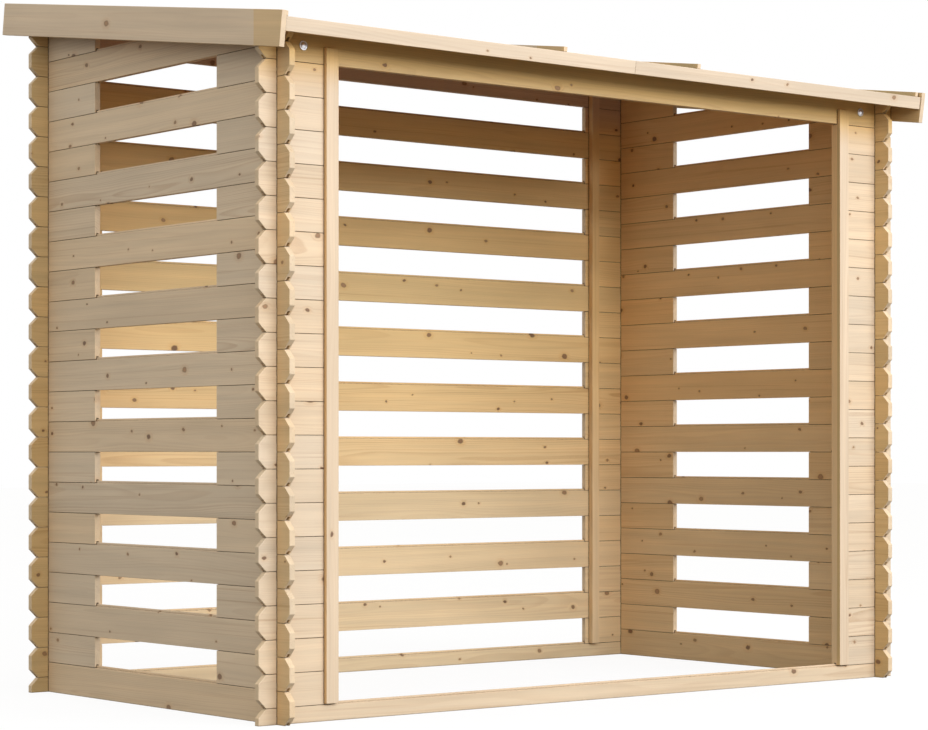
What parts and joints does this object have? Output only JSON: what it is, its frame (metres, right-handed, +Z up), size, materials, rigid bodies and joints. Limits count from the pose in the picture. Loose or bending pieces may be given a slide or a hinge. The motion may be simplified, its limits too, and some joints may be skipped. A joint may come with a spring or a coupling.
{
  "type": "log store",
  "caption": "Open-fronted timber log store with slatted sides and back, interlocking board corners and a roof that slopes to the front.",
  "frame": {"origin": "middle of the footprint, on the ground", "axes": "+X along the open front, seen from it, to the right; +Y from the front to the back; +Z up"},
  "size_m": [2.478, 1.4898, 2.0777],
  "materials": {
    "wall_spruce": "planed, untreated",
    "roof_spruce": "planed, untreated",
    "trim_spruce": "planed, untreated",
    "roofing_felt": "mineral surface, matt",
    "zinc_bolt": "zinc plated"
  },
  "bodies": {
    "root": {"back_eave_left": "trim_spruce", "back_eave_right": "trim_spruce", "back_left_batten": "wall_spruce", "back_left_blocks": "wall_spruce", "back_right_batten": "wall_spruce", "back_right_blocks": "wall_spruce", "back_sill": "wall_spruce", "back_wall_boards": "wall_spruce", "front_eave_left": "trim_spruce", "front_eave_right": "trim_spruce", "front_left_boards_a": "wall_spruce", "front_left_boards_b": "wall_spruce", "front_left_post": "wall_spruce", "front_lintel": "wall_spruce", "front_right_boards_a": "wall_spruce", "front_right_boards_b": "wall_spruce", "front_right_post": "wall_spruce", "front_sill": "wall_spruce", "left_verge_board": "trim_spruce", "left_wall_back_blocks": "wall_spruce", "left_wall_boards": "wall_spruce", "left_wall_front_blocks": "wall_spruce", "left_wall_wedge": "wall_spruce", "right_verge_board": "trim_spruce", "right_wall_back_blocks": "wall_spruce", "right_wall_boards": "wall_spruce", "right_wall_front_blocks": "wall_spruce", "right_wall_wedge": "wall_spruce", "roof_boards_a": "roof_spruce", "roof_boards_b": "roof_spruce", "roof_felt": "roofing_felt", "roof_left_edge_batten": "trim_spruce", "roof_left_middle_batten": "trim_spruce", "roof_right_edge_batten": "trim_spruce", "roof_right_middle_batten": "trim_spruce"}
  },
  "joints": []
}
